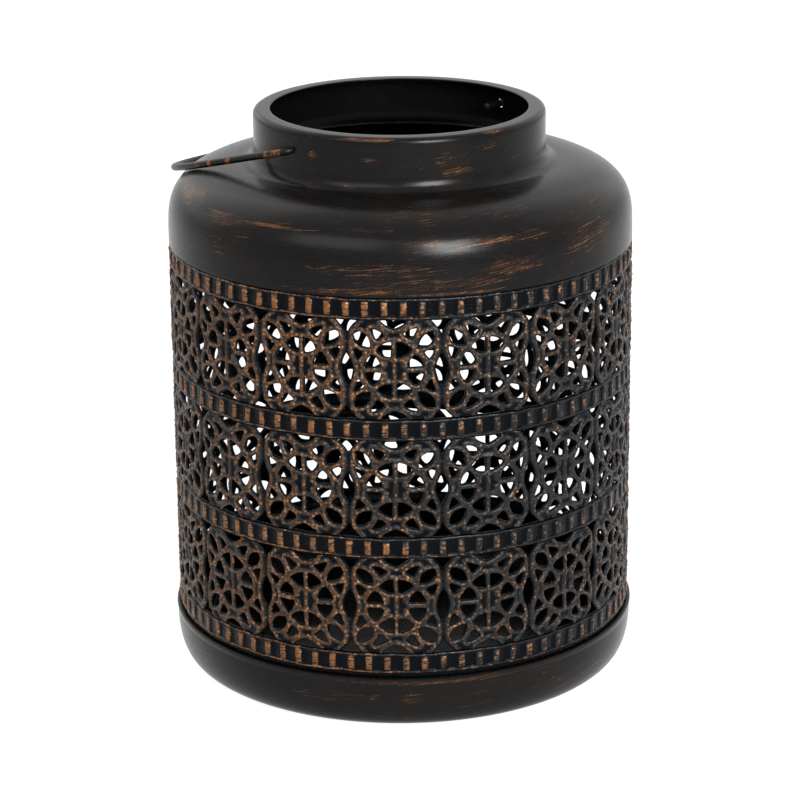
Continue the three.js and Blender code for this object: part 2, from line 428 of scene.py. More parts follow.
def sheet_profile(line, sheet):
    """Closed profile of a sheet whose outside is the line, with the metal on the line's left.
    Returns its points, how far along the line each lies, and how much it faces out."""
    inside = offset_line(line, sheet)
    along = line_lengths(line)
    end = rounded_edge(line[-1], inside[-1], line[-1] - line[-2])
    start = rounded_edge(inside[0], line[0], line[0] - line[1])
    fade = np.linspace(1, 0, len(end) + 2)[1:-1]
    points = [line, end, inside[::-1], start]
    places = [along, np.full(len(end), along[-1]), along[::-1], np.zeros(len(start))]
    facing = [np.ones(len(line)), fade, np.zeros(len(line)), fade[::-1]]
    return np.concatenate(points), np.concatenate(places), np.concatenate(facing)


def turned_piece(name, profile, along, facing, segments):
    """A profile of (radius, height) points turned about Z. It closes on itself, or starts and ends on the
    axis."""
    verts, rings = [], []
    for radius, height in profile:
        copies = 1 if radius == 0 else segments
        rings.append([len(verts) + i for i in range(copies)])
        for i in range(copies):
            turn = 2 * math.pi * i / segments
            verts.append((radius * math.cos(turn), radius * math.sin(turn), height))
    pairs = list(zip(rings, rings[1:]))
    if profile[0][0] > 0:
        pairs.append((rings[-1], rings[0]))
    faces = []
    for low, high in pairs:
        for i in range(segments):
            j = (i + 1) % segments
            corners = [low[i % len(low)], low[j % len(low)], high[j % len(high)], high[i % len(high)]]
            faces.append(list(dict.fromkeys(corners)))
    spread = [len(ring) for ring in rings]
    attributes = {"meridian": np.repeat(along, spread), "outside": np.repeat(facing, spread)}
    return new_piece(name, verts, faces, attributes)


# Cap

DOME_STEPS = 60
FILLET_STEPS = 16
RIM_STEPS = 10
CAP_SPACING = 0.9 * MM      # between the rings of the cap's mesh
HOLE_SEGMENTS = 32
CAP_SHARP = 40              # degrees from which an edge is shown sharp
DRILL_REACH = 2.2           # length of the drill, as a share of the neck's radius


def cap_line(sizes):
    """Outside line of the cap, from the skirt's edge over the dome and the neck to the rim's inner edge."""
    radius, edge, top = CAP_HIGH.x, CAP_LOW.z, CAP_HIGH.z
    foot = edge + sizes.skirt_height
    rise = top - sizes.neck_height - foot
    run = radius - sizes.neck_radius
    first = math.asin((sizes.neck_fillet / run) ** (sizes.dome_across / 2))
    dome = []
    for turn in np.linspace(math.pi / 2, first, DOME_STEPS):
        across, up = squared_quarter(sizes.dome_across, sizes.dome_up, turn)
        dome.append((sizes.neck_radius + run * across, foot + rise * up))
    fillet_centre = (sizes.neck_radius + sizes.neck_fillet, dome[-1][1] + sizes.neck_fillet)
    rim_centre = (sizes.neck_radius - sizes.rim_round, top - sizes.rim_round)
    corners = [
        (radius, edge),
        *dome,
        *arc(fillet_centre, sizes.neck_fillet, -90, -180, FILLET_STEPS)[1:],
        *arc(rim_centre, sizes.rim_round, 0, 90, RIM_STEPS),
        (sizes.neck_radius - sizes.rim_width + sizes.sheet / 2, top),
    ]
    return even_line(corners, CAP_SPACING)


def punch_holes(piece, sizes):
    """Drills the bail's two holes through the neck."""
    build = bmesh.new()
    bmesh.ops.create_cone(
        build, segments=HOLE_SEGMENTS, radius1=sizes.hole_diameter / 2, radius2=sizes.hole_diameter / 2,
        depth=DRILL_REACH * sizes.neck_radius, cap_ends=True,
        matrix=Matrix.Translation(HINGE) @ Matrix.Rotation(math.pi / 2, 4, "Y"))
    mesh = take_mesh(build, "drill", smooth=False)
    drill = add_object("drill", mesh)
    cut = piece.modifiers.new("Holes", "BOOLEAN")
    cut.operation = "DIFFERENCE"
    cut.solver = "EXACT"
    cut.object = drill
    freeze(piece)
    bpy.data.objects.remove(drill)
    bpy.data.meshes.remove(mesh)


def mark_along(piece, line, sheet):
    """Writes how far along the outside line each point lies, and whether it faces out, by distance."""
    mesh = piece.data
    flat = np.zeros(len(mesh.vertices) * 3)
    mesh.vertices.foreach_get("co", flat)
    x, y, z = flat.reshape(-1, 3).T
    step, part, away = nearest_on_line(np.stack([np.hypot(x, y), z], 1), line)
    write_attribute(mesh, "meridian", np.interp(step + part, np.arange(len(line)), line_lengths(line)))
    write_attribute(mesh, "outside", np.clip(1 - away / sheet, 0, 1))


class LANTERN_OT_cap(bpy.types.Operator):
    """Turns the cap from one sheet and punches the bail's holes"""

    bl_idname = "lantern.cap"
    bl_label = "Cap"

    def execute(self, context):
        sizes = context.scene.lantern_cap
        line = cap_line(sizes)
        profile, along, facing = sheet_profile(line, sizes.sheet)
        piece = turned_piece("cap_shell", profile, along, facing, sizes.segments)
        punch_holes(piece, sizes)
        mark_along(piece, line, sizes.sheet)
        piece.data.set_sharp_from_angle(angle=math.radians(CAP_SHARP))
        material = antiqued_black(context.scene.lantern_finish, "brushed_cap", CAP_PATCHES, CAP_STRAY)
        settle(piece, LANTERN_BODY, "antiqued_black", material, "top_cap")
        return {"FINISHED"}


# Drum

ARCH_STEPS = 24              # points along one bowed side of an opening
CURVE_STEPS = 8              # points from one corner of the scalloped border to the next
SOFT_STEPS = 8               # points to each point spacing while an opening's corners are rounded
ROW_RISE = 0.87              # from row to row of the grid of triangles, as a share of their side
CORNER_ROUND = 0.55          # at an opening's corners, in millimetres
BEAD_HALF = 0.88             # from an opening's edge to the crest of the bead round it, in millimetres
BEAD_FOOT = (1.2, 2.1)       # from where to where the bead falls to the flat, in bead halves from the edge
PLAIN_EDGE = 0.6             # width of the edge of an opening without a bead, in bead halves
FLAT_LEVEL = 0.2             # of the sheet between beads, as a share of the bead's height
BORDER_FADE = 0.7            # over which a medallion flattens towards its ladder bands, in millimetres
CREST_TRIES = np.linspace(0.3, 1, 8)    # places from an opening's edge to its bead's crest
CLEAR_SHARE = 0.97           # of the distance to its own opening, from which a place counts as nearest to it
FLANK_PLACE = 0.42           # of the way from an opening's edge to its bead's crest
SAME_POINT = 1e-4            # outline points nearer than this, in millimetres, are one
CROSSING = 1e-6              # how near two outlines may come, in millimetres
SAME_PLACE = 0.001 * MM      # mesh points of one tile nearer than this are one
SEAM = 0.01 * MM             # and those of neighbouring tiles
RIB_HALF = 1.35 * MM         # half the width of a ladder rib
RIB_SHOULDER = 1.5 * MM      # from a band's edge to where its ribs begin to fall
RIB_FALL = 0.65 * MM         # length over which they fall
RIB_END = 0.25               # of a rib's height that is left at its end
EDGE_HALF = 0.48 * MM        # half the width of the bead along a band's edge
EDGE_BEAD = 0.8              # height of that bead, as a share of a rib's
EDGE_UPRIGHT = 0.2           # how upright that bead counts as, for the brush
LOWER_EDGE = 1.35            # how readily the copper takes on the bead at a ladder band's lower edge
UPPER_EDGE = 1.05            # and at its upper edge
RIB_FLANK = 1.15             # how far the copper reaches down the sides of a rib
WAVE_SIZE = 7 * MM           # of the slight unevenness of the pressed sheet
UNEVENNESS = 0.9 * MM
GRAIN_SIZE = 1.4 * MM        # of the beading on the relief
BEADING = 1.1 * MM
HEM_SEGMENTS = 240


def arched_outline(corners, bulges):
    """A closed outline whose sides are bowed: a bulge is the rise of a side as a share of its length,
    outwards where it is above zero. Corners run counter-clockwise."""
    points = []
    for i, corner in enumerate(corners):
        start = np.array(corner, float)
        step = np.array(corners[(i + 1) % len(corners)], float) - start
        outward = np.array([step[1], -step[0]])
        for part in np.linspace(0, 1, ARCH_STEPS, endpoint=False):
            points.append(start + step * part + outward * bulges[i] * 4 * part * (1 - part))
    return np.array(points)


def soften(outline, radius, spacing):
    """The closed outline with its corners rounded, and points at an even spacing."""
    step = spacing / SOFT_STEPS
    fine = even_line(closed(outline), step)[:-1]
    half = max(1, round(radius / step))
    weights = np.hanning(2 * half + 3)[1:-1]
    weights /= weights.sum()
    soft = sum(w * np.roll(fine, shift, axis=0) for w, shift in zip(weights, range(-half, half + 1)))
    return even_line(closed(soft), spacing)[:-1]


def turned_corners(corners, centre, degrees_turned):
    """The corners turned counter-clockwise and moved to the centre."""
    turn = math.radians(degrees_turned)
    across = np.array([math.cos(turn), math.sin(turn)])
    up = np.array([-across[1], across[0]])
    return [np.array(centre) + x * across + y * up for x, y in corners]


def medallion_openings():
    """Outlines of the openings that lie in or reach into the upper right quarter of a medallion, in
    millimetres from its centre, each with whether a pressed bead runs round it."""
    leaf = turned_corners([(-3.9, 0), (3.9, 0)], (10.7, 10.5), 45)
    return [
        (arched_outline([(0.95, 4.5), (5.75, 7.05), (0.95, 9.7)], [0.12, 0.10, 0]), True),
        (arched_outline([(4.5, 1.0), (9.8, 1.0), (7.1, 5.5)], [0, 0.10, 0.12]), True),
        (arched_outline(leaf, [0.26, 0.26]), True),
        (arched_outline([(10.1, 6.0), (12.2, 3.4), (13.6, 7.7)], [0.05, 0.08, 0.03]), True),
        (arched_outline([(3.1, 12.4), (5.6, 10.4), (7.8, 14.4)], [0.05, 0.03, 0.08]), True),
        (arched_outline([(-4.7, 17.0), (0, 14.2), (4.7, 17.0)], [0.07, 0.07, 0]), True),
        (arched_outline([(12.1, 17.0), (16, 11.9), (19.9, 17.0)], [-0.06, -0.06, 0]), False),
        (arched_outline([(16, -5.7), (18.15, 0), (16, 5.7), (13.85, 0)], [0.07, 0.07, 0.07, 0.07]), False),
    ]


def medallion_ridges():
    """Lines of the pressed beads that don't follow an opening: the bar through the centre, the studs beside
    it and the scalloped border of the medallion. Millimetres, upper right quarter."""
    bar = [(0, 0), (0, 10.5)]
    stud = [(3.0, 1.5), (3.0, 2.9)]
    border = [(10.4, 17.35), (12.6, 15.0), (14.0, 12.4), (14.5, 9.4), (14.2, 6.4), (13.1, 3.0), (12.3, 0)]
    return [np.array(bar, float), np.array(stud, float), smooth_line(border)]


def smooth_line(corners):
    """A Catmull-Rom curve through the corners."""
    ends = [2 * np.array(corners[0]) - corners[1], 2 * np.array(corners[-1]) - corners[-2]]
    knots = np.array([ends[0], *corners, ends[1]], float)
    points = []
    for a, b, c, d in zip(knots, knots[1:], knots[2:], knots[3:]):
        for part in np.linspace(0, 1, CURVE_STEPS, endpoint=False):
            points.append(0.5 * (2 * b + (c - a) * part + (2 * a - 5 * b + 4 * c - d) * part ** 2
                                 + (3 * b - 3 * c + d - a) * part ** 3))
    points.append(knots[-2])
    return np.array(points)


def closed(outline):
    """The outline with its first point again at its end."""
    return np.concatenate([outline, outline[:1]])


def inside_outline(spots, outline):
    """Whether each spot lies inside a closed outline, by counting the sides to its right."""
    ring = closed(outline)
    (x0, y0), (x1, y1) = ring[:-1].T, ring[1:].T
    x, y = spots[:, :1], spots[:, 1:]
    spans = (y0 > y) != (y1 > y)
    crossing = x0 + (y - y0) * (x1 - x0) / np.where(y1 == y0, 1, y1 - y0)
    return (spans & (x < crossing)).sum(1) % 2 == 1


def nearest_side(spots, outlines):
    """Distance from each spot to the nearest of the outlines, and how upright that side is there."""
    least = np.full(len(spots), np.inf)
    upright = np.zeros(len(spots))
    for outline in outlines:
        side, _, away = nearest_on_line(spots, outline)
        steps = np.diff(outline, axis=0)[side]
        steep = np.abs(steps[:, 1]) / np.linalg.norm(steps, axis=1)
        upright = np.where(away < least, steep, upright)
        least = np.minimum(least, away)
    return least, upright


def smoothstep(value, low, high):
    """0 below low, 1 above high, smooth between."""
    part = np.clip((value - low) / (high - low), 0, 1)
    return part * part * (3 - 2 * part)


def half_round(part):
    """0 at the edge, 1 from the crest on."""
    return np.sqrt(1 - (1 - np.clip(part, 0, 1)) ** 2)


def medallion_relief(spots, beaded, plain, ridges, half_height):
    """Height of the pressed relief at each spot, 0 to 1, and how upright the bead runs there."""
    from_bead, bead_upright = nearest_side(spots, beaded)
    from_plain, _ = nearest_side(spots, plain)
    from_ridge, ridge_upright = nearest_side(spots, ridges)
    web = half_round(from_bead / BEAD_HALF)
    web *= 1 - (1 - FLAT_LEVEL) * smoothstep(from_bead / BEAD_HALF, *BEAD_FOOT)
    ridge = np.sqrt(np.clip(1 - (from_ridge / BEAD_HALF) ** 2, 0, 1))
    relief = np.maximum(web, ridge) * half_round(from_plain / (PLAIN_EDGE * BEAD_HALF))
    upright = np.where(ridge > web, ridge_upright, bead_upright)
    near_border = smoothstep(half_height - np.abs(spots[:, 1]), 0, BORDER_FADE)
    return FLAT_LEVEL + (relief - FLAT_LEVEL) * near_border, upright


class SpotList:
    """Mesh points that keep a distance from each other."""

    def __init__(self, spots=None):
        self.spots = np.zeros((0, 2)) if spots is None else spots

    def add(self, candidates, distance):
        """Adds the candidates one by one, apart from those that lie nearer than the distance to a point."""
        for spot in candidates:
            if len(self.spots) and ((self.spots - spot) ** 2).sum(1).min() < distance ** 2:
                continue
            self.spots = np.concatenate([self.spots, spot[None]])


def clip_to_quarter(outline, width, height):
    """The open stretch of an outline that lies in the quarter, with its ends on the quarter's sides.
    An outline that lies wholly inside comes back closed."""
    ring = closed(outline)
    kept = (ring[:, 0] >= 0) & (ring[:, 0] <= width) & (ring[:, 1] >= 0)
    if kept.all():
        return ring
    first = next(i for i in range(len(outline)) if kept[i + 1] and not kept[i])
    order = np.roll(outline, -first, axis=0)
    last = np.flatnonzero(np.roll(kept[:-1], -first))[-1]
    stretch = order[1:last + 1]
    return np.concatenate([
        [to_side(order[0], stretch[0], width)],
        stretch,
        [to_side(order[(last + 1) % len(order)], stretch[-1], width)],
    ])


def to_side(outer, inner, width):
    """Where the step from a point inside the quarter to one outside crosses the quarter's side."""
    step = outer - inner
    for axis, limit in ((0, 0), (0, width), (1, 0)):
        beyond = outer[axis] < limit if limit == 0 else outer[axis] > limit
        if beyond:
            crossing = inner + step * (limit - inner[axis]) / step[axis]
            crossing[axis] = limit
            return crossing
    raise ValueError("the outline doesn't leave the quarter")


def side_spots(width, height, outlines, spacing):
    """Points along the quarter's four sides, outside the openings."""
    across = np.linspace(0, width, round(width / spacing) + 1)
    up = np.linspace(0, height, round(height / spacing) + 1)
    sides = [(x, y) for y in (0, height) for x in across] + [(x, y) for x in (0, width) for y in up]
    spots = np.array(sides)
    free = ~np.any([inside_outline(spots, outline) for outline in outlines], axis=0)
    return spots[free]


def triangulate(spots, chains, outlines):
    """Triangles of the sheet between the openings."""
    edges = []
    for chain in chains:
        index = [int(((spots - point) ** 2).sum(1).argmin()) for point in chain]
        edges += [(a, b) for a, b in zip(index, index[1:]) if a != b]
    verts, _, faces, *_ = delaunay_2d_cdt([Vector(spot) for spot in spots], edges, [], 0, CROSSING)
    if len(verts) != len(spots):
        raise ValueError("the outlines of two openings cross")
    faces = np.array(faces)
    spots = np.array([tuple(vert) for vert in verts])
    centres = spots[faces].mean(1)
    metal = ~np.any([inside_outline(centres, outline) for outline in outlines], axis=0)
    return spots, faces[metal]


def bead_spots(chains, outlines):
    """Points on the crests and on the flanks of the beads round the openings. Where a web is too narrow for
    two beads, their crests meet in its middle."""
    crests, flanks = [], []
    for chain in chains:
        outward = -left_of(chain)
        tries = [chain + outward * place * BEAD_HALF for place in CREST_TRIES]
        clear = [nearest_side(spots, outlines)[0] > CLEAR_SHARE * place * BEAD_HALF
                 for spots, place in zip(tries, CREST_TRIES)]
        for spots, is_clear in zip(np.stack(tries, 1), np.stack(clear, 1)):
            if is_clear.any():
                crests.append(spots[is_clear][-1])
        flanks.append(chain + outward * FLANK_PLACE * BEAD_HALF)
    return np.array(crests), np.concatenate(flanks)


def within(spots, width, height, margin):
    """The spots that lie in the quarter, further than a margin from its sides."""
    x, y = spots.T
    return spots[(x > margin) & (x < width - margin) & (y > margin) & (y < height - margin)]


def quarter_sheet(width, height, spacing):
    """Front and back of a quarter medallion as points and triangles, with the relief of the front. Points
    are added from the most to the least needed. The distances that they keep from the sides and from those
    before them are shares of the spacing."""
    openings = [(soften(outline, CORNER_ROUND, spacing), bead) for outline, bead in medallion_openings()]
    outlines = [outline for outline, _ in openings]
    chains = [clip_to_quarter(outline, width, height) for outline in outlines]
    beaded = [closed(outline) for outline, bead in openings if bead]
    plain = [closed(outline) for outline, bead in openings if not bead]
    ridges = medallion_ridges()
    fixed = SpotList()
    for chain in chains:
        fixed.add(chain, SAME_POINT)
    fixed.add(side_spots(width, height, outlines, 1.2 * spacing), 0.5 * spacing)
    crests, flanks = bead_spots(chains, [closed(outline) for outline in outlines])
    front = SpotList(fixed.spots)
    for spots, margin, distance in (
            *((even_line(ridge, spacing), 0.2, 0.6) for ridge in ridges),
            (crests, 0.3, 0.75),
            (flanks, 0.3, 0.6),
            (grid_spots(width, height, 1.1 * spacing), 0.4, 0.9)):
        front.add(within(spots, width, height, margin * spacing), distance * spacing)
    back = SpotList(fixed.spots)
    back.add(within(grid_spots(width, height, 4 * spacing), width, height, spacing), 2 * spacing)
    front_side = triangulate(front.spots, chains, outlines)
    relief, upright = medallion_relief(front_side[0], beaded, plain, ridges, height)
    return front_side, relief, upright, triangulate(back.spots, chains, outlines)


def grid_spots(width, height, spacing):
    """Points of a triangular grid over the quarter."""
    rows = np.arange(0, height, spacing * ROW_RISE)
    return np.array([
        (x, y) for i, y in enumerate(rows) for x in np.arange(spacing / 2 * (i % 2), width, spacing)])


class Tile:
    """A flat tile in the making: X along the sheet, Y the distance from the drum's axis, Z up. Each point
    carries the height of the relief, from 0 to 1, and how upright it runs there."""

    def __init__(self):
        self.build = bmesh.new()
        self.relief = self.build.verts.layers.float.new("relief")
        self.upright = self.build.verts.layers.float.new("upright")

    def point(self, x, radius, z, relief=0, upright=0):
        """Adds a point."""
        vert = self.build.verts.new((x, radius, z))
        vert[self.relief] = relief
        vert[self.upright] = upright
        return vert

    def add_quarters(self, spots, faces, radii, relief, upright, inward):
        """One side of a medallion, from a quarter and its mirror images."""
        for flip_x in (1, -1):
            for flip_z in (1, -1):
                verts = [self.point(flip_x * x * MM, radius, flip_z * z * MM, rise, steep)
                         for (x, z), radius, rise, steep in zip(spots, radii, relief, upright)]
                turned_over = (flip_x * flip_z < 0) != inward
                for face in faces:
                    corners = [verts[i] for i in face]
                    self.build.faces.new(corners[::-1] if turned_over else corners)


def medallion_tile(sizes):
    """One medallion, with walls round its openings."""
    half_width = sheet_radius(sizes) * math.pi / sizes.medallions / MM
    half_height = sizes.tier_height / 2 / MM
    front, relief, upright, back = quarter_sheet(half_width, half_height, sizes.spacing / MM)
    tile = Tile()
    build = tile.build
    tile.add_quarters(*front, sheet_radius(sizes) + relief * sizes.bead, relief, upright, False)
    bmesh.ops.remove_doubles(build, verts=build.verts, dist=SAME_PLACE)
    front_rim = [edge for edge in build.edges if edge.is_boundary]
    front_verts = len(build.verts)
    flat = np.zeros(len(back[0]))
    tile.add_quarters(*back, flat + (sheet_radius(sizes) - sizes.sheet), flat, flat, True)
    build.verts.ensure_lookup_table()
    bmesh.ops.remove_doubles(build, verts=build.verts[front_verts:], dist=SAME_PLACE)
    join_rims(build, front_rim, half_width * MM)
    return take_mesh(build, "medallion_tile")


def place_in_sheet(vert):
    """Where a point of a tile lies across and up, in seam widths."""
    return round(vert.co.x / SEAM), round(vert.co.z / SEAM)


def join_rims(build, front_rim, half_width):
    """Walls from the front's rims to the back's, apart from the tile's two ends, which meet other tiles."""
    front = set(front_rim)
    rim = {place_in_sheet(vert): vert for edge in build.edges if edge.is_boundary and edge not in front
           for vert in edge.verts}
    for edge in front_rim:
        if all(abs(abs(vert.co.x) - half_width) < SAME_PLACE for vert in edge.verts):
            continue
        loop = edge.link_loops[0]
        a, b = loop.vert, loop.link_loop_next.vert
        build.faces.new([b, a, rim[place_in_sheet(a)], rim[place_in_sheet(b)]])


def sheet_radius(sizes):
    """Radius of the drum's sheet, under the relief."""
    return DRUM_HIGH.x - sizes.tier_relief


def mirrored(half):
    """Places from zero up, with their mirror images before them."""
    return [-place for place in half[:0:-1]] + half


def ladder_tile(sizes):
    """One rib of a ladder band, between the beads along the band's edges."""
    half_width = sheet_radius(sizes) * math.pi / (sizes.medallions * sizes.ribs)
    half_height = sizes.band_height / 2
    bead_place = half_height - EDGE_HALF
    rib_end = half_height - 2 * EDGE_HALF
    across = mirrored([0, RIB_HALF / 3, RIB_HALF * 2 / 3, RIB_HALF, half_width])
    up = mirrored([0, half_height - RIB_SHOULDER, rib_end, bead_place, half_height])
    level = sheet_radius(sizes) + FLAT_LEVEL * sizes.bead
    tile = Tile()
    rows = []
    for z in up:
        row = []
        for x in across:
            rib = math.sqrt(max(0, 1 - (x / RIB_HALF) ** 2))
            rib *= min(1, max(0, rib_end - abs(z)) / RIB_FALL + RIB_END)
            bead = EDGE_BEAD if abs(z) == bead_place else 0
            if rib > bead:
                marks = min(1, RIB_FLANK * rib), 1
            else:
                marks = bead * (LOWER_EDGE if z < 0 else UPPER_EDGE), EDGE_UPRIGHT
            row.append(tile.point(x, level + max(rib, bead) * sizes.rib, z, *marks))
        rows.append(row)
    for z in (up[-1], up[0]):
        rows.append([tile.point(x, sheet_radius(sizes) - sizes.sheet, z) for x in across])
    for low, high in zip(rows, [*rows[1:], rows[0]]):
        for i in range(len(across) - 1):
            tile.build.faces.new([low[i], low[i + 1], high[i + 1], high[i]])
    return take_mesh(tile.build, "ladder_tile")


ROLL_INPUTS = {
    "Tile": "Object", "Material": "Material", "Copies": "Int", "Rows": "Int",
    "Copy Width": "Float", "Row Spacing": "Float", "First Height": "Float", "Turn": "Float",
    "Unevenness": "Float", "Beading": "Float",
}


def rolled_sheet_tree():
    """Geometry nodes that lay flat tiles side by side in rows, roll them to a drum and make it a little
    uneven."""
    tree = bpy.data.node_groups.new("Rolled Sheet", "GeometryNodeTree")
    tree.interface.new_socket("Geometry", in_out="INPUT", socket_type="NodeSocketGeometry")
    for name, kind in ROLL_INPUTS.items():
        tree.interface.new_socket(name, in_out="INPUT", socket_type="NodeSocket" + kind)
    tree.interface.new_socket("Geometry", in_out="OUTPUT", socket_type="NodeSocketGeometry")
    nodes = Nodes(tree)
    given = nodes.add("NodeGroupInput").outputs
    spot = nodes.add("GeometryNodeInputPosition").outputs[0]
    x, y, z = nodes.split(spot)
    tile = nodes.add("GeometryNodeObjectInfo", {"transform_space": "ORIGINAL"}, Object=given["Tile"])
    step = nodes.vector(given["Copy Width"], 0.0, 0.0)
    row = nodes.add("GeometryNodeMeshLine", Count=given["Copies"], Offset=step)
    step_up = nodes.vector(0.0, 0.0, given["Row Spacing"])
    rows = nodes.add("GeometryNodeMeshLine", Count=given["Rows"], Offset=step_up)
    grid = nodes.add("GeometryNodeInstanceOnPoints", Points=rows.outputs[0], Instance=row.outputs[0])
    spots = nodes.add("GeometryNodeRealizeInstances", Geometry=grid.outputs[0])
    tiles = nodes.add(
        "GeometryNodeInstanceOnPoints", Points=spots.outputs[0], Instance=tile.outputs["Geometry"])
    flat = nodes.add("GeometryNodeRealizeInstances", Geometry=tiles.outputs[0])
    around = nodes.number(given["Copies"]) * nodes.number(given["Copy Width"])
    turn = x * (2 * math.pi) / around + nodes.number(given["Turn"])
    place = nodes.vector(y * turn.cos(), y * turn.sin(), z + nodes.number(given["First Height"]))
    rolled = nodes.add("GeometryNodeSetPosition", Geometry=flat.outputs[0], Position=place)
    wave = nodes.add("ShaderNodeTexNoise", Vector=spot, Scale=1 / WAVE_SIZE, Detail=1.0)
    centred = nodes.add(
        "ShaderNodeVectorMath", {"operation": "SUBTRACT"},
        input_0=wave.outputs["Color"], input_1=(0.5, 0.5, 0.5))
    shift = nodes.add(
        "ShaderNodeVectorMath", {"operation": "SCALE"},
        input_0=centred.outputs[0], Scale=given["Unevenness"])
    uneven = nodes.add("GeometryNodeSetPosition", Geometry=rolled.outputs[0], Offset=shift.outputs[0])
    relief = nodes.add("GeometryNodeInputNamedAttribute", {"data_type": "FLOAT"}, Name="relief")
    rise = nodes.number(relief.outputs["Attribute"]) * nodes.number(given["Beading"])
    rise = rise * (nodes.noise(spot, GRAIN_SIZE, detail=1) - 0.5)
    radius = (x * x + y * y).sqrt()
    outward = nodes.vector(x / radius * rise, y / radius * rise, 0.0)
    beaded = nodes.add("GeometryNodeSetPosition", Geometry=uneven.outputs[0], Offset=outward)
    merged = nodes.add("GeometryNodeMergeByDistance", Geometry=beaded.outputs[0], Distance=SEAM)
    painted = nodes.add("GeometryNodeSetMaterial", Geometry=merged.outputs[0], Material=given["Material"])
    nodes.add("NodeGroupOutput", Geometry=painted.outputs[0])
    return tree


def rolled_piece(name, tree, tile_mesh, values):
    """A piece rolled from copies of a tile."""
    tile = add_object(name + "_tile", tile_mesh)
    values = {**values, "Tile": tile, "Unevenness": UNEVENNESS, "Beading": BEADING}
    piece = new_piece(name, [], [])
    roll = piece.modifiers.new("Roll", "NODES")
    roll.node_group = tree
    for socket in tree.interface.items_tree:
        if socket.in_out == "INPUT" and socket.name in values:
            roll[socket.identifier] = values[socket.name]
    freeze(piece)
    bpy.data.objects.remove(tile)
    settle(piece, LANTERN_BODY, "copper_brushed_black", values["Material"], "filigree_drum")


class LANTERN_OT_drum(bpy.types.Operator):
    """Presses the medallions and ladder bands and rolls them to the drum"""

    bl_idname = "lantern.drum"
    bl_label = "Filigree drum"

    def execute(self, context):
        sizes = context.scene.lantern_drum
        finish = context.scene.lantern_finish
        filigree = copper_brushed_black(
            finish, "brushed_filigree", finish.dim, streak=0.15, bias=0.17, side_load=0.62, end_load=0.22)
        ladder = copper_brushed_black(
            finish, "brushed_ladder", finish.copper, streak=0.85, bias=0.12, side_load=0.85, end_load=0.30)
        tree = rolled_sheet_tree()
        pitch = 2 * math.pi * sheet_radius(sizes) / sizes.medallions
        spacing = sizes.tier_height + sizes.band_height
        first_band = PAN_HIGH.z + sizes.strip_over_pan + sizes.band_height / 2
        tile = medallion_tile(sizes)
        for tier in range(sizes.tiers):
            rolled_piece(f"filigree_tier_{tier + 1}", tree, tile, {
                "Copies": sizes.medallions, "Rows": 1, "Copy Width": pitch, "Row Spacing": 0.0,
                "First Height": first_band + spacing / 2 + tier * spacing, "Turn": sizes.turn,
                "Material": filigree})
        ribs = sizes.medallions * sizes.ribs
        rolled_piece("ladder_bands", tree, ladder_tile(sizes), {
            "Copies": ribs, "Rows": sizes.tiers + 1, "Copy Width": pitch / sizes.ribs,
            "Row Spacing": spacing, "First Height": first_band, "Turn": sizes.turn + math.pi / ribs,
            "Material": ladder})
        lower_edge = first_band - sizes.band_height / 2
        upper_edge = first_band + sizes.tiers * spacing + sizes.band_height / 2
        self.add_hem("drum_hem_in_pan", DRUM_LOW.z, lower_edge, sizes, ladder)
        self.add_hem("drum_hem_in_cap", upper_edge, DRUM_HIGH.z, sizes, ladder)
        return {"FINISHED"}

    def add_hem(self, name, low, high, sizes, material):
        """A plain strip that tucks into the pan or the cap."""
        radius = sheet_radius(sizes) + FLAT_LEVEL * sizes.bead
        profile, _, facing = sheet_profile(even_line([(radius, low), (radius, high)], MM), sizes.sheet)
        piece = turned_piece(name, profile, np.zeros(len(profile)), facing, HEM_SEGMENTS)
        for mark in ("relief", "upright"):
            write_attribute(piece.data, mark, np.zeros(len(piece.data.vertices)))
        settle(piece, LANTERN_BODY, "copper_brushed_black", material, "filigree_drum")


# Pan

CORNER_STEPS = 40
LIP_PROUD = 0.25 * MM       # how far the lip stands out from the wall
LIP_BEAD = 0.4 * MM         # radius of the lip's edges
LIP_FOOT = 0.1 * MM         # from the wall's top to the lip
FOLD_DEPTH = 4 * MM         # of the lip's inner side
FOLD_EDGE = 0.25 * MM       # bevel of the lip's inner edge
PAN_SPACING = 0.5 * MM      # between the rings of the pan's mesh
PAN_SHARP = 50              # degrees from which an edge is shown sharp


def pan_line(sizes):
    """Outside line of the pan, from the middle of its underside to the top of its lip."""
    radius, height = PAN_HIGH.x, PAN_HIGH.z
    wall_radius = radius - LIP_PROUD
    lip = height - sizes.lip_height
    rise = lip - sizes.wall
    corner = []
    for turn in np.linspace(0, math.pi / 2, CORNER_STEPS):
        across, up = squared_quarter(sizes.corner_across, sizes.corner_up, turn)
        corner.append((wall_radius - sizes.corner_run * (1 - across), rise * (1 - up)))
    corners = [
        (0, 0),
        *corner,
        (wall_radius, lip - LIP_FOOT),
        *arc((radius - LIP_BEAD, lip + LIP_BEAD), LIP_BEAD, -60, 0, 4),
        *arc((radius - LIP_BEAD, height - LIP_BEAD), LIP_BEAD, 0, 90, 6),
    ]
    return even_line(corners, PAN_SPACING)


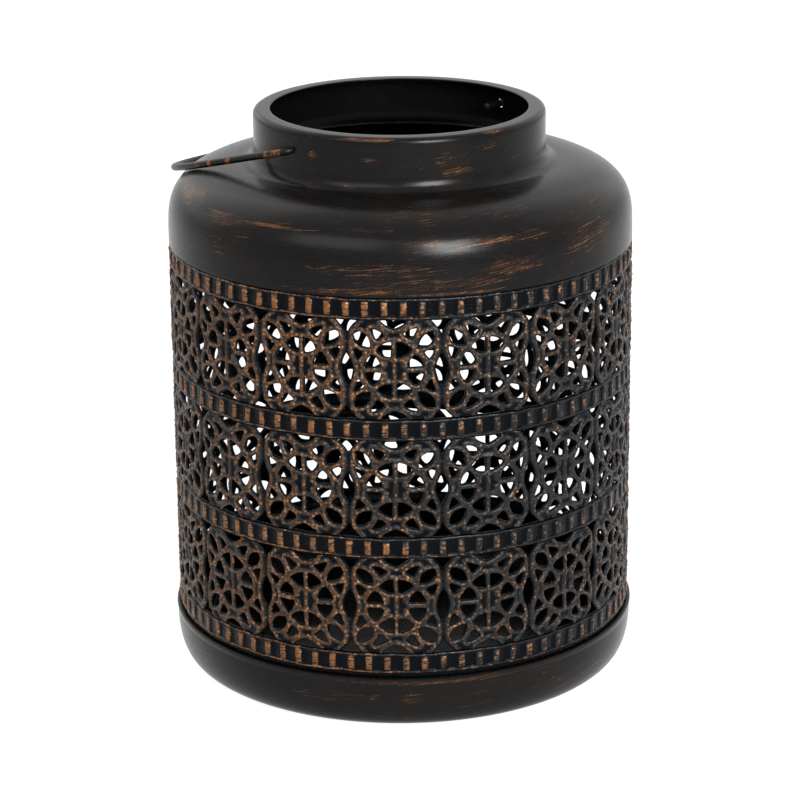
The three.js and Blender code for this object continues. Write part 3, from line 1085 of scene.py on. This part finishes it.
def pan_profile(sizes):
    """Profile of the pan, from the middle of its underside over the lip to the middle of its floor. Returns
    its points, how far along the outside line each lies, and how much it faces out."""
    line = pan_line(sizes)
    along = line_lengths(line)
    top = PAN_HIGH.z
    fit = PAN_HIGH.x - sizes.lip
    inside = offset_line(line, sizes.sheet)
    inside[0] = (0, sizes.sheet)
    below_fold = inside[:, 1] < top - FOLD_DEPTH - sizes.sheet
    inner = inside[below_fold][::-1]
    fold = np.array([
        (fit + FOLD_EDGE, top), (fit, top - FOLD_EDGE),
        (fit, top - FOLD_DEPTH / 2), (fit, top - FOLD_DEPTH)])
    profile = np.concatenate([line, fold, inner])
    profile[0, 0] = profile[-1, 0] = 0
    places = np.concatenate([along, along[-1] + line_lengths(fold) + MM, along[below_fold][::-1]])
    facing = np.concatenate([np.ones(len(line)), np.zeros(len(fold) + len(inner))])
    return profile, places, facing


class LANTERN_OT_pan(bpy.types.Operator):
    """Turns the pan with its folded lip"""

    bl_idname = "lantern.pan"
    bl_label = "Pan"

    def execute(self, context):
        sizes = context.scene.lantern_pan
        piece = turned_piece("pan_shell", *pan_profile(sizes), sizes.segments)
        piece.data.set_sharp_from_angle(angle=math.radians(PAN_SHARP))
        material = antiqued_black(context.scene.lantern_finish, "brushed_pan", PAN_PATCHES, PAN_STRAY)
        settle(piece, LANTERN_BODY, "antiqued_black", material, "base_pan")
        return {"FINISHED"}


# Bail

BEND_STEPS = 8
LEG_STEPS = 18
BOW_STEPS = 72
WIRE_END = [(-0.95, 0.3), (-0.7, 0.7), (-0.35, 0.93)]   # place and radius of a rounded end's sections


def bail_line(sizes, neck_radius):
    """Middle line of the wire in its own plane: (along the hinge line, out from it)."""
    tip = neck_radius - sizes.tail
    foot = sizes.leg_offset - sizes.bend
    left = [(-tip, 0), (-(tip + foot) / 2, 0)]
    left += [(-across, out) for across, out in arc((foot, sizes.bend), sizes.bend, -90, 0, BEND_STEPS)]
    left += [(-sizes.leg_offset, out) for out in np.linspace(sizes.bend, sizes.leg, LEG_STEPS)[1:-1]]
    bow = arc((0, sizes.leg), sizes.leg_offset, 180, 0, BOW_STEPS)
    right = [(-across, out) for across, out in left[::-1]]
    return np.array(left + bow + right)


def rest_tilt(sizes):
    """How far the folded bail lies below level, from the lowest point of its frame node."""
    drop = HINGE.z - BAIL_LOW.z - sizes.wire / 2
    return math.asin(drop / (sizes.leg + sizes.leg_offset))


def swept_wire(name, line, out_axis, up_axis, radius, sides):
    """A round wire along a flat line through the hinge, with rounded ends."""
    along = line_lengths(line)
    steps = directions(line)
    sections = [(0, shift, size) for shift, size in WIRE_END]
    sections += [(index, 0, 1) for index in range(len(line))]
    sections += [(len(line) - 1, -shift, size) for shift, size in reversed(WIRE_END)]
    verts, places, rings = [], [], []
    for index, shift, size in sections:
        step = np.array([steps[index, 0], 0, 0]) + steps[index, 1] * out_axis
        side = np.cross(step, up_axis)
        centre = np.array(HINGE) + np.array([line[index, 0], 0, 0]) + line[index, 1] * out_axis
        centre = centre + step * shift * radius
        rings.append([len(verts) + i for i in range(sides)])
        for i in range(sides):
            turn = 2 * math.pi * i / sides
            verts.append(centre + size * radius * (math.cos(turn) * side + math.sin(turn) * up_axis))
            places.append(along[index])
    faces = [rings[0], rings[-1][::-1]]
    for low, high in zip(rings, rings[1:]):
        for i in range(sides):
            j = (i + 1) % sides
            faces.append([low[i], high[i], high[j], low[j]])
    from_end = np.minimum(places, along[-1] - np.array(places))
    return new_piece(name, verts, faces, {"meridian": places, "from_end": from_end})


class LANTERN_OT_bail(bpy.types.Operator):
    """Bends the wire bail and folds it on the shoulder"""

    bl_idname = "lantern.bail"
    bl_label = "Bail"

    def execute(self, context):
        sizes = context.scene.lantern_bail
        tilt = rest_tilt(sizes)
        out_axis = np.array([0, math.cos(tilt), -math.sin(tilt)])
        up_axis = np.array([0, math.sin(tilt), math.cos(tilt)])
        line = bail_line(sizes, context.scene.lantern_cap.neck_radius)
        piece = swept_wire("bail_wire", line, out_axis, up_axis, sizes.wire / 2, sizes.sides)
        settle(piece, BAIL_BODY, "wire_black", wire_black(context.scene.lantern_finish), "bail_handle")
        return {"FINISHED"}


# Finishes

SHEET_GLOSS = 0.12          # of the plain sheet's paint, as Principled's specular level
FILIGREE_GLOSS = 0.24       # of the paint in the pressed pattern
PAINT_ROUGHNESS = 0.235
WIRE_ROUGHNESS = 0.34
WRAP_RADIUS = 70 * MM       # radius at which patterns are laid round the lantern
STROKE_SLOPE = 0.13         # how steeply the brush strokes climb to the right
HATCH_SLOPE = 0.60          # and those that cross them
HATCH_SIDE = 75             # degrees right of the brushed side, towards which the crossing strokes climb
STROKE_SWAY = 2.5 * MM      # how far the strokes wander up and down
SWAY_SIZE = 22 * MM         # and over what length
LONG_STROKE = (20, 0.32)    # length and width of the brush's streaks, in millimetres
SHORT_STROKE = (4.5, 0.27)
FINE_STROKE = (7, 0.19)
HATCH_STROKE = (6, 0.32)
WIPE_STROKE = (2.5, 0.6)
LONG_MARK = (0.615, 0.675)  # levels between which long streaks become marks
SHORT_MARK = (0.635, 0.695)
FINE_MARK = (0.55, 0.67)
HATCH_MARK = (0.68, 0.74)
FINE_STRENGTH = 0.42        # of the fine marks, as a share of the long ones'
HATCH_STRENGTH = 0.6
PATCH_FADE = (0.35, 1.25)   # from where to where a patch fades out, as shares of its half size
CLOUD_SIZE = 24 * MM        # of the brown cast in the paint, where copper strays too
LOAD_SIZE = 5 * MM          # of the changes in the brush's load of copper
MOTTLE_SIZE = 1.1 * MM      # of the breaks in the copper on the relief
WEAR_SIZE = 3.5 * MM        # of the rubbed spots on the wire
SHEET_GRAIN = 0.5 * MM
FILIGREE_GRAIN = 0.45 * MM
WIRE_GRAIN = 0.6 * MM
SHEET_BUMP = 0.012 * MM     # depth of the brush strokes' grain
FILIGREE_BUMP = 0.17 * MM
WIRE_BUMP = 0.03 * MM
MIDDLE_TIER = 92 * MM       # height where the drum has the least copper
TIER_SPACING = 42 * MM
HEAVY_BRUSHING = -52        # degrees right of the brushed side, where the drum has the most copper
NECK_WALL = (9 * MM, 11 * MM)   # where the wire comes out of the neck, from its end
RUBBED_WIRE = [(15, 5), (39, 3), (48.5, 1)]   # middle and half length of bare stretches, in millimetres

# Patches that the brush went over; the pan's patch at 5 degrees on the lip is also a painted highlight. Each
# is degrees to the right of the brushed side, millimetres along the outside line, half its width, half its
# height, and its strength.
CAP_PATCHES = [
    (-72, 23, 20, 5, 1.15), (-50, 20, 15, 3, 0.95), (-33, 21, 17, 0.9, 1.35), (-8, 22.5, 16, 1.0, 0.9),
    (6, 17.5, 10, 1.6, 0.9), (20, 17, 14, 3.0, 1.0), (27, 8, 13, 4.5, 1.05), (33, 17, 12, 3, 0.8),
    (-6, 8.5, 26, 4.0, 0.9), (8, 4.0, 32, 3.0, 0.95), (-14, 1.5, 24, 1.4, 1.15), (30, 27, 16, 3.5, 0.75),
    (12, 0.6, 18, 0.8, 1.5), (-60, 10, 22, 5, 0.65), (52, 12, 18, 6, 0.5), (0, 28, 30, 5, 0.5),
    (22, 53.5, 13, 1.6, 0.95), (-12, 58, 7, 1.2, 0.95), (12, 57, 22, 5, 0.6),
    (-19, 48.5, 4.5, 0.9, 1.3), (-35, 58, 4, 2.2, 1.3), (35, 61, 8, 2, 0.8),
    (-12, 65, 17, 0.9, 1.75), (38, 65.2, 8, 0.8, 1.6), (-75, 65, 12, 1.0, 1.5),
    (85, 20, 20, 3.5, 1.05), (100, 5, 26, 4, 0.95), (128, 22, 18, 1.2, 1.2), (150, 10, 30, 4.5, 0.95),
    (176, 20, 22, 3.2, 1.05), (-160, 4, 28, 3, 1.0), (-132, 22, 20, 1.5, 1.2), (-105, 7, 24, 4, 0.9),
    (120, 0.8, 40, 0.9, 1.4), (-150, 0.8, 44, 0.9, 1.4), (110, 30, 20, 4, 0.7), (-170, 32, 24, 4, 0.7),
    (95, 57, 9, 2.5, 0.95), (150, 55, 14, 2, 1.0), (-140, 57, 16, 3, 0.9), (165, 65, 16, 0.9, 1.5),
]
CAP_STRAY = 0.45            # how much copper strays between the patches
PAN_PATCHES = [
    # The patch at 5 degrees and 96 mm lies on the lip's top edge: partly worn copper, partly a painted
    # highlight along the lip.
    (-10, 90, 40, 3, 0.6), (5, 96, 30, 1.1, 1.3), (-62, 88, 16, 5, 0.6), (50, 88, 24, 5, 0.5),
    (110, 92, 36, 4, 0.7), (165, 96, 34, 1.1, 1.3), (-130, 90, 40, 4, 0.7),
]
PAN_STRAY = 0.40


def new_material(name):
    """An empty material, and what adds its nodes."""
    material = bpy.data.materials.new(name)
    material.use_nodes = True
    material.node_tree.nodes.clear()
    return material, Nodes(material.node_tree)


def attribute(nodes, name):
    """A number that the mesh's points carry."""
    return nodes.number(nodes.add("ShaderNodeAttribute", {"attribute_name": name}).outputs["Fac"])


def surface_place(nodes):
    """Object coordinates, the direction from the axis at a fixed radius, so that a pattern laid on it runs
    round the lantern at one length whatever the radius, and the height."""
    spot = nodes.add("ShaderNodeTexCoord").outputs["Object"]
    x, y, z = nodes.split(spot)
    radius = (x * x + y * y).sqrt().at_least(MM)
    return spot, (x / radius * WRAP_RADIUS, y / radius * WRAP_RADIUS), z


def finish_surface(nodes, colour, roughness, metallic, height, bump_distance, gloss=SHEET_GLOSS):
    """The material's shader and output."""
    bump = nodes.add("ShaderNodeBump", Height=height, Strength=1.0, Distance=bump_distance)
    shader = nodes.add(
        "ShaderNodeBsdfPrincipled", Base_Color=colour, Roughness=roughness, Metallic=metallic,
        Specular_IOR_Level=gloss, Normal=bump.outputs[0])
    nodes.add("ShaderNodeOutputMaterial", Surface=shader.outputs[0])


def toward(finish, degrees_right):
    """The level direction that lies so many degrees to the right of the side with the most brushing."""
    turn = finish.brushed_side + math.radians(degrees_right)
    return math.cos(turn), math.sin(turn)


def reach(finish, around, degrees_right):
    """How far a place round the lantern reaches in such a direction."""
    x, y = toward(finish, degrees_right)
    return around[0] * x + around[1] * y


def streaks(nodes, around, across, stroke, detail=1, roughness=0.5):
    """Noise drawn out to streaks of a length round the lantern and a width."""
    long, wide = stroke
    place = nodes.vector(around[0] / (long * MM), around[1] / (long * MM), across / (wide * MM))
    return nodes.noise(place, 1.0, detail=detail, roughness=roughness)


def brushed_patches(nodes, finish, around, along, patches):
    """The strength of the patch at a place, 0 outside all of them."""
    covered = nodes.number(0.0)
    for degrees_right, middle, half_width, half_height, strength in patches:
        x, y = toward(finish, degrees_right)
        away_x = (around[0] - x * WRAP_RADIUS) / (half_width * MM)
        away_y = (around[1] - y * WRAP_RADIUS) / (half_width * MM)
        away_up = (along - middle * MM) / (half_height * MM)
        away = (away_x * away_x + away_y * away_y + away_up * away_up).sqrt()
        covered = covered.at_least((1 - away.rise(*PATCH_FADE)) * strength)
    return covered


def antiqued_black(finish, name, patches, stray):
    """Satin black paint with thin copper brush strokes that run round the piece, thick in the patches and
    stray between them."""
    material, nodes = new_material(name)
    spot, around, _ = surface_place(nodes)
    along = attribute(nodes, "meridian")
    outside = attribute(nodes, "outside")
    flow = nodes.vector(*around, along)
    sway = nodes.noise(flow, SWAY_SIZE, detail=1) - 0.5
    across = along - reach(finish, around, 90) * STROKE_SLOPE + sway * STROKE_SWAY
    hatch_across = along - reach(finish, around, HATCH_SIDE) * HATCH_SLOPE
    strokes = streaks(nodes, around, across, LONG_STROKE)
    dashes = streaks(nodes, around, across, SHORT_STROKE, detail=2)
    fine = streaks(nodes, around, across, FINE_STROKE)
    hatches = streaks(nodes, around, hatch_across, HATCH_STROKE)
    grain = nodes.noise(spot, SHEET_GRAIN, roughness=0.6)
    cloud = nodes.noise(flow, CLOUD_SIZE, detail=3, roughness=0.55)
    load = nodes.noise(flow, LOAD_SIZE, roughness=0.6)
    touched = brushed_patches(nodes, finish, around, along, patches) + cloud.rise(0.45, 0.75) * stray
    loose = (grain - 0.5) * 0.14 + (load - 0.5) * 0.14 + (touched - 1) * 0.15
    mark = (strokes + loose).rise(*LONG_MARK)
    mark = mark.at_least((dashes + loose).rise(*SHORT_MARK))
    mark = mark.at_least((hatches + loose).rise(*HATCH_MARK) * HATCH_STRENGTH)
    mark = mark.at_least((fine + loose).rise(*FINE_MARK) * touched.rise(0.25, 1.1) * FINE_STRENGTH)
    copper = mark * outside * (0.20 + (grain + load - 0.6).rise(0.1, 0.7) * 0.55)
    base = nodes.mix(cloud.rise(0.35, 0.7), finish.black, finish.brown)
    # Inward faces take the inside colour: painted shade inside the lantern.
    base = nodes.mix(outside, finish.inside, base)
    haze = touched.rise(0.7, 1.8) * 0.14 * (dashes + strokes - 0.6).rise(0.1, 0.7)
    haze = (haze + dashes.rise(0.48, 0.68) * 0.022) * outside
    tint = nodes.mix((grain * 0.6 + dashes * 0.4).rise(0.5, 0.68), finish.copper, finish.pale)
    colour = nodes.mix(copper, nodes.mix(haze, base, finish.copper), tint)
    roughness = PAINT_ROUGHNESS + (dashes - 0.5) * 0.25 + copper * 0.12
    finish_surface(nodes, colour, roughness, copper * 0.6, dashes + grain + copper * 0.6, SHEET_BUMP)
    return material


def copper_brushed_black(finish, name, copper_colour, streak, bias, side_load, end_load):
    """Satin black paint, with copper dry-brushed over whatever stands proud. The streak is how much the
    brush left level lines, and the bias how readily the copper took all round. The side load adds copper on
    the two sides that were brushed most, and the end load towards the drum's top and bottom."""
    material, nodes = new_material(name)
    spot, around, height = surface_place(nodes)
    relief = attribute(nodes, "relief")
    upright = attribute(nodes, "upright")
    facing = reach(finish, around, HEAVY_BRUSHING) / WRAP_RADIUS
    side = (facing * facing).rise(0.05, 0.8)
    cloud = nodes.noise(spot, LOAD_SIZE, roughness=0.6)
    beads = nodes.beads(spot, GRAIN_SIZE)
    tops = beads.rise(0.38, 0.66)
    mottle = nodes.noise(spot, MOTTLE_SIZE, roughness=0.6)
    wiped = streaks(nodes, around, height, WIPE_STROKE, detail=2, roughness=0.6)
    grain = nodes.noise(spot, FILIGREE_GRAIN, roughness=0.6)
    texture = wiped * streak + grain * (1 - streak)
    from_middle = ((height - MIDDLE_TIER) / TIER_SPACING).size()
    load = side * side_load + (cloud - 0.5) * 1.5 + from_middle.rise(0.3, 0.9) * end_load + bias
    crest = relief.rise(0.58, 1.0) * (0.80 + 0.20 * upright)
    broken = (beads - 0.56) * 0.9 + (mottle - 0.5) * 1.5 + (texture - 0.5) * (0.9 + 1.7 * streak)
    copper = (crest + load + broken - 1.0).rise(0.0, 0.9)
    copper = copper * (1 - (1 - wiped.rise(0.36, 0.50)) * streak) * relief.rise(0.15, 0.5)
    copper = copper * (1 - (1 - tops) * (1 - streak) * 0.5)
    base = nodes.mix(relief.rise(0.1, 0.7), finish.recess, finish.black)
    # Bead tops lightened towards the brown haze colour: partly copper haze, partly a painted highlight on
    # the beads.
    base = nodes.mix(tops * relief.rise(0.45, 0.9) * (0.14 + side * 0.4) * (1 - streak), base, finish.stain_and_sheen)
    stained = nodes.mix((copper * 4).at_most(1.0), base, finish.stain_and_sheen)
    # Pale copper on the bead tops: partly copper lying thick, partly painted glints.
    rubbed_and_glints = (texture + beads * 1.2 + cloud * 0.5 - 1.50).rise(0.0, 0.20)
    tint = nodes.mix(rubbed_and_glints, copper_colour, finish.pale)
    colour = nodes.mix(copper.rise(0.15, 1.0), stained, tint)
    metallic = ((1 - relief.rise(0.2, 0.6)) * 0.85).at_least(copper * 0.5)
    roughness = PAINT_ROUGHNESS + copper * 0.15
    bumps = texture * 0.6 + beads + grain * 0.6
    finish_surface(nodes, colour, roughness, metallic, bumps, FILIGREE_BUMP, FILIGREE_GLOSS)
    return material


def wire_black(finish):
    """Painted wire, worn to copper where the hand and the neck rub it."""
    material, nodes = new_material("rubbed_wire")
    spot = nodes.add("ShaderNodeTexCoord").outputs["Object"]
    along = attribute(nodes, "meridian")
    patches = nodes.noise(spot, WEAR_SIZE, detail=3)
    rubbed_and_glints = nodes.number(0.0)
    for middle, half in RUBBED_WIRE:
        rubbed_and_glints = rubbed_and_glints.at_least(1 - ((along - middle * MM) / (half * MM)).size().rise(0.4, 1.2))
    copper = (patches + rubbed_and_glints * 0.18).rise(0.62, 0.74) * attribute(nodes, "from_end").rise(*NECK_WALL)
    grain = nodes.noise(spot, WIRE_GRAIN)
    colour = nodes.mix(copper, nodes.mix(patches.rise(0.4, 0.6), finish.black, finish.brown), finish.copper)
    finish_surface(nodes, colour, WIRE_ROUGHNESS + copper * 0.15, copper * 0.5, grain, WIRE_BUMP)
    return material


# Stage

FRAME_WIDTH = 800           # the picture's width in pixels
SHIFT = -1.93               # of the picture to the side, in pixels
SENSOR = 36                 # the sensor's width in millimetres
CLIP = (0.05, 50)           # the nearest and the furthest that the camera sees, in metres
FLOOR_HALF = 6              # half the floor's width in metres

# Soft boxes. Each is degrees to the right of the camera, degrees up, then its distance, width and height in
# metres, the setting that holds its brightness, and its share of that.
SOFT_BOXES = {
    "key_box": (25, 31, 1.3, 0.40, 0.62, "key", 1),
    "fill_box": (-35, 42, 1.3, 0.9, 0.6, "fill", 1),
    "left_rear_box": (-130, 35, 1.5, 1.4, 1.2, "rear", 1),
    "right_rear_box": (130, 35, 1.5, 1.4, 1.2, "rear", 0.6),
}


def direction_at(azimuth, elevation):
    """The direction at an angle from +X and an angle above the horizon."""
    level = math.cos(elevation)
    return Vector((math.cos(azimuth) * level, math.sin(azimuth) * level, math.sin(elevation)))


def look_from(item, aim, direction, distance, roll=0):
    """Places an object at a distance from the aim and turns it there."""
    item.location = aim + direction * distance
    item.rotation_mode = "QUATERNION"
    look = (-direction).to_track_quat("-Z", "Y")
    item.rotation_quaternion = look @ Matrix.Rotation(roll, 3, "Z").to_quaternion()


def shown_rays(nodes):
    """1 for rays that show the background itself, in the picture or in gloss, and 0 for its light."""
    rays = nodes.add("ShaderNodeLightPath").outputs
    shown = nodes.number(rays["Is Camera Ray"]) + nodes.number(rays["Is Glossy Ray"])
    return (shown + nodes.number(rays["Is Transmission Ray"])).at_most(1.0)


class LANTERN_OT_stage(bpy.types.Operator):
    """Sets the floor, the soft lights and the camera"""

    bl_idname = "lantern.stage"
    bl_label = "Stage"

    def execute(self, context):
        settings = context.scene.lantern_stage
        aim = Vector((0, 0, settings.aim_height))
        self.add_floor(settings)
        self.add_world(settings)
        self.add_lights(settings, aim)
        self.add_camera(settings, aim)
        context.scene.view_settings.view_transform = "Standard"
        return {"FINISHED"}

    def add_floor(self, settings):
        corners = [(-1, -1), (1, -1), (1, 1), (-1, 1)]
        floor = new_piece("floor", [(x * FLOOR_HALF, y * FLOOR_HALF, 0) for x, y in corners], [(0, 1, 2, 3)])
        material, nodes = new_material("floor_white")
        diffuse = nodes.add("ShaderNodeBsdfDiffuse", Color=settings.floor)
        glow = nodes.add(
            "ShaderNodeEmission", Color=(1.0, 1.0, 1.0), Strength=shown_rays(nodes) * settings.floor_glow)
        both = nodes.add("ShaderNodeAddShader", input_0=diffuse.outputs[0], input_1=glow.outputs[0])
        nodes.add("ShaderNodeOutputMaterial", Surface=both.outputs[0])
        floor.data.materials.append(material)

    def add_world(self, settings):
        world = bpy.data.worlds.new("studio")
        world.use_nodes = True
        world.node_tree.nodes.clear()
        nodes = Nodes(world.node_tree)
        strength = settings.ambient + shown_rays(nodes) * (1 - settings.ambient)
        soft = nodes.add("ShaderNodeBackground", Color=(1.0, 1.0, 1.0), Strength=strength)
        nodes.add("ShaderNodeOutputWorld", Surface=soft.outputs[0])
        bpy.context.scene.world = world

    def add_lights(self, settings, aim):
        for name, (right, up, distance, width, height, brightness, part) in SOFT_BOXES.items():
            lamp = bpy.data.lights.new(name, "AREA")
            lamp.shape = "RECTANGLE"
            lamp.size = width
            lamp.size_y = height
            lamp.energy = getattr(settings, brightness) * part * math.pi * width * height
            light = add_object(name, lamp)
            light.visible_camera = False
            direction = direction_at(settings.azimuth + math.radians(right), math.radians(up))
            look_from(light, aim, direction, distance)

    def add_camera(self, settings, aim):
        data = bpy.data.cameras.new("camera")
        data.lens = settings.lens
        data.sensor_width = SENSOR
        data.shift_x = SHIFT / FRAME_WIDTH
        data.clip_start, data.clip_end = CLIP
        camera = add_object("camera", data)
        direction = direction_at(settings.azimuth, settings.elevation)
        look_from(camera, aim, direction, settings.distance, settings.roll)
        bpy.context.scene.camera = camera


class LANTERN_PT_panel(bpy.types.Panel):
    """The lantern's pieces, in the order in which they are made"""

    bl_label = "Lantern"
    bl_category = "Lantern"
    bl_space_type = "VIEW_3D"
    bl_region_type = "UI"

    def draw(self, context):
        for operator in OPERATORS:
            self.layout.operator(operator.bl_idname)


GROUPS = {
    "lantern_cap": LanternCapSizes,
    "lantern_drum": LanternDrumSizes,
    "lantern_pan": LanternPanSizes,
    "lantern_bail": LanternBailSizes,
    "lantern_finish": LanternFinish,
    "lantern_stage": LanternStage,
}
OPERATORS = (LANTERN_OT_cap, LANTERN_OT_drum, LANTERN_OT_pan, LANTERN_OT_bail, LANTERN_OT_stage)


def register():
    for group in GROUPS.values():
        bpy.utils.register_class(group)
    for name, group in GROUPS.items():
        setattr(bpy.types.Scene, name, PointerProperty(type=group))
    for operator in OPERATORS:
        bpy.utils.register_class(operator)
    bpy.utils.register_class(LANTERN_PT_panel)


def unregister():
    bpy.utils.unregister_class(LANTERN_PT_panel)
    for operator in reversed(OPERATORS):
        bpy.utils.unregister_class(operator)
    for name in GROUPS:
        delattr(bpy.types.Scene, name)
    for group in reversed(GROUPS.values()):
        bpy.utils.unregister_class(group)


def main():
    register()
    for operator in OPERATORS:
        group, name = operator.bl_idname.split(".")
        getattr(getattr(bpy.ops, group), name)()


if __name__ == "__main__":
    main()
